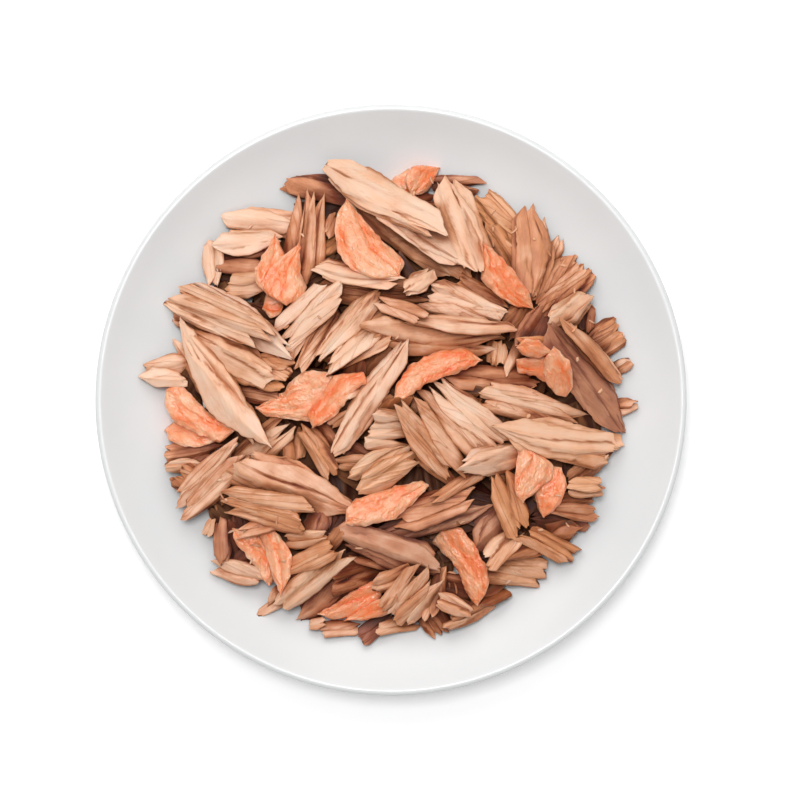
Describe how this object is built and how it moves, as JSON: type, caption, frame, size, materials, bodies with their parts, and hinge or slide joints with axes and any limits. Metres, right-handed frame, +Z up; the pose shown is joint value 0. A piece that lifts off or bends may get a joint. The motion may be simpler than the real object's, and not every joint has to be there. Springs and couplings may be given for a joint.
{
  "type": "plate of flaked fish",
  "caption": "Round white coupe plate heaped with flaked cooked tuna and torn pieces of pink salmon, all resting loose in the dish.",
  "frame": {"origin": "centre of the foot ring, on the table plane", "axes": "+Z up along the plate's axis, +Y towards the back of the plate, +X to the right"},
  "size_m": [0.2, 0.2, 0.0305],
  "materials": {
    "glaze": "smooth white glaze with a soft gloss",
    "tuna": "moist cooked tuna, fibrous, tan with darker seams",
    "salmon": "moist cooked salmon, pink-orange with pale lines"
  },
  "bodies": {
    "root": {"plate": "glaze", "tuna_heap": "tuna", "salmon_01": "salmon", "salmon_02": "salmon", "salmon_03": "salmon", "salmon_04": "salmon", "salmon_05": "salmon", "salmon_06": "salmon", "salmon_07": "salmon", "salmon_08": "salmon", "salmon_09": "salmon", "salmon_10": "salmon", "salmon_11": "salmon", "salmon_12": "salmon", "salmon_13": "salmon", "salmon_14": "salmon"}
  },
  "joints": []
}
